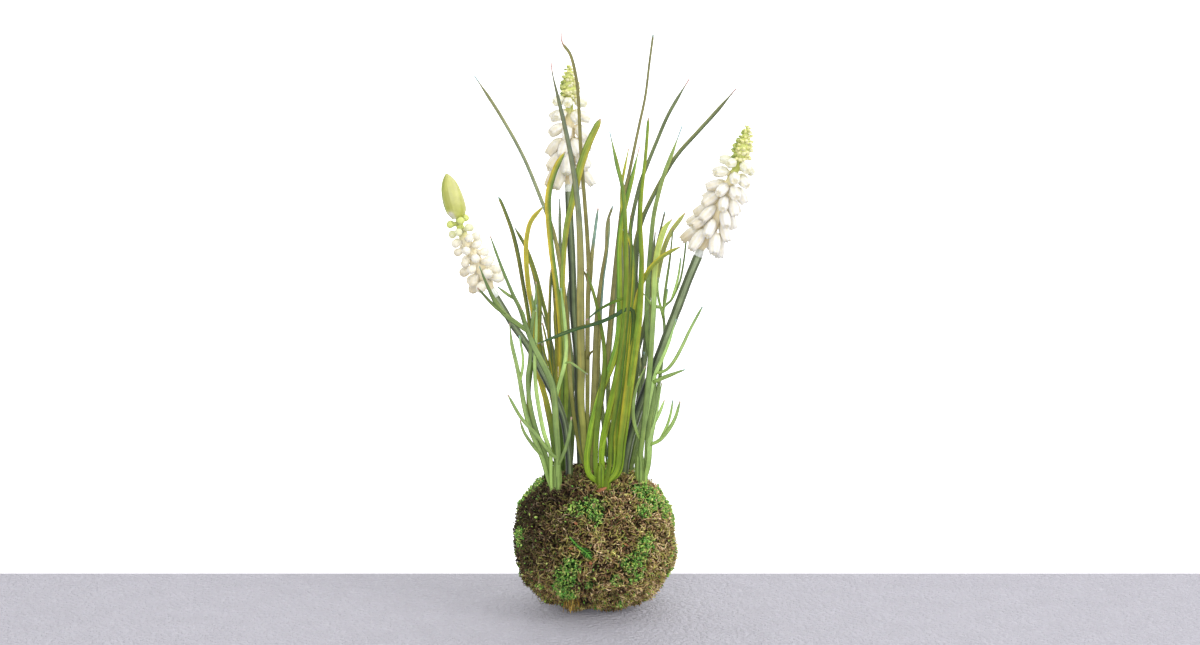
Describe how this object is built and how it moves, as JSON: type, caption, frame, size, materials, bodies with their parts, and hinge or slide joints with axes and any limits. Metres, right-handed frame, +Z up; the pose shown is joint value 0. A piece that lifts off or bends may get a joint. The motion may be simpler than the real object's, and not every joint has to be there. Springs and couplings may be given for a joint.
{
  "type": "kokedama moss ball plant",
  "caption": "Moss-covered ball planted with white grape hyacinths and sprigs of grass, standing on a small flat spot.",
  "frame": {"origin": "centre of the flat spot that the ball stands on", "axes": "+Z up along the plant, -Y towards the front, +X to the right as seen from the front"},
  "size_m": [0.1467, 0.1067, 0.2793],
  "materials": {
    "moss": "matte",
    "soil": "matte",
    "flower_stem": "satin",
    "floret": "satin",
    "green_bud": "satin",
    "pale_grass": "satin",
    "edged_grass": "satin",
    "fresh_grass": "satin",
    "olive_grass": "satin",
    "grey_grass": "satin"
  },
  "bodies": {
    "root": {"moss_cover": "moss", "soil_ball": "soil", "left_flower_stem": "flower_stem", "back_flower_stem": "flower_stem", "right_flower_stem": "flower_stem", "left_floret_head": "floret", "back_floret_head": "floret", "right_floret_head": "floret", "left_green_bud": "green_bud", "back_green_tip": "green_bud", "right_green_tip": "green_bud", "left_front_sprig": "pale_grass", "right_front_sprig": "pale_grass", "left_back_sprig": "edged_grass", "centre_front_sprig": "fresh_grass", "centre_back_sprig": "olive_grass", "right_back_sprig": "grey_grass", "rear_left_sprig": "grey_grass", "rear_right_sprig": "grey_grass"}
  },
  "joints": []
}
